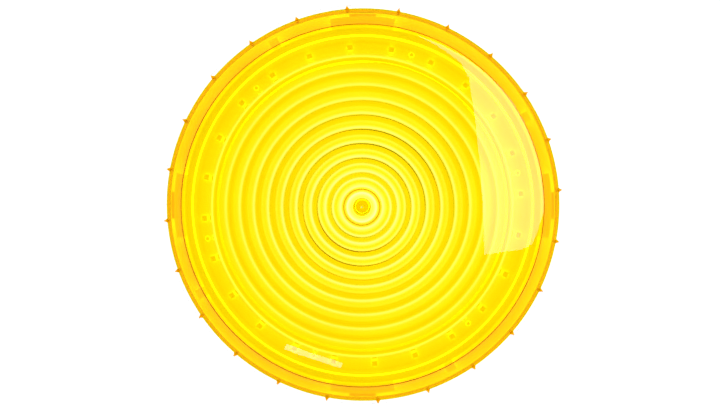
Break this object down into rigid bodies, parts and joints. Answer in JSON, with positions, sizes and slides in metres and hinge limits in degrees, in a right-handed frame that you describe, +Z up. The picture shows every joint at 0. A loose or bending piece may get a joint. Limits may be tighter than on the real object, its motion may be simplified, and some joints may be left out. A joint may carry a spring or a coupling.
{
  "type": "raised pavement marker",
  "caption": "Low round raised pavement marker: amber ring-beaded twist-on lens over a lit ring, white dish and dry cells in a white base with bolt holes.",
  "frame": {"origin": "middle of the underside, on the road surface", "axes": "+Z up out of the road through the top of the lens; +Y away from the switch recess"},
  "size_m": [0.15, 0.15, 0.025],
  "materials": {
    "lens_amber": "clear amber polycarbonate, glossy outside, ring beads inside",
    "housing_white": "white moulded polycarbonate, satin",
    "seal_silicone": "pale silicone",
    "dish_white": "bright white reflector plastic",
    "board_white": "white solder mask",
    "lamp_case": "white lamp package",
    "lamp_phosphor": "yellow phosphor resin",
    "component_dark": "moulded black component",
    "tray_grey": "grey moulded plastic",
    "cell_sleeve": "printed cell sleeve with bare cap",
    "contact_nickel": "nickel-plated spring steel",
    "control_green": "green solder mask",
    "socket_cream": "cream nylon",
    "capacitor_can": "aluminium can",
    "stalk_white": "white light guide tube",
    "sensor_window": "tinted sensor window",
    "screw_steel": "zinc-plated steel",
    "switch_black": "black glass-filled nylon",
    "knob_grey": "grey acetal",
    "terminal_tin": "tinned brass",
    "vent_rubber": "black rubber with membrane",
    "lead_red": "red wire insulation",
    "lead_black": "black wire insulation"
  },
  "bodies": {
    "marker": {"base_housing": "housing_white", "lens_seal": "seal_silicone", "lamp_board": "board_white", "lamps": "lamp_case", "lamp_windows": "lamp_phosphor", "lamp_resistors": "component_dark", "reflector_dish": "dish_white", "battery_tray": "tray_grey", "control_board": "control_green", "control_chip": "component_dark", "lead_plug_socket": "socket_cream", "driver_coil": "component_dark", "smoothing_capacitor": "capacitor_can", "sensor_stalk": "stalk_white", "light_sensor": "sensor_window", "board_screws": "screw_steel", "tray_screws": "screw_steel", "switch_body": "switch_black", "switch_terminals": "terminal_tin", "vent_plug": "vent_rubber", "battery_cell_1": "cell_sleeve", "positive_contact_1": "contact_nickel", "negative_contact_1": "contact_nickel", "contact_spring_1": "contact_nickel", "battery_cell_2": "cell_sleeve", "positive_contact_2": "contact_nickel", "negative_contact_2": "contact_nickel", "contact_spring_2": "contact_nickel", "battery_cell_3": "cell_sleeve", "positive_contact_3": "contact_nickel", "negative_contact_3": "contact_nickel", "contact_spring_3": "contact_nickel", "link_strap_1": "contact_nickel", "link_strap_2": "contact_nickel", "lamp_lead_red": "lead_red", "battery_lead_red": "lead_red", "switch_lead_red": "lead_red", "lamp_lead_black": "lead_black", "battery_lead_black": "lead_black", "switch_lead_black": "lead_black"},
    "lens": {"lens_cover": "lens_amber"},
    "slider": {"switch_slider": "knob_grey"}
  },
  "joints": [
    {"name": "lens_twist", "type": "hinge", "parent": "marker", "child": "lens", "pos_m": [0, 0, 0.005], "axis": [0, 0, 1], "range_deg": [0, 22]},
    {"name": "switch_slide", "type": "slide", "parent": "marker", "child": "slider", "axis": [1, 0, 0], "range_m": [0, 0.0024]}
  ]
}
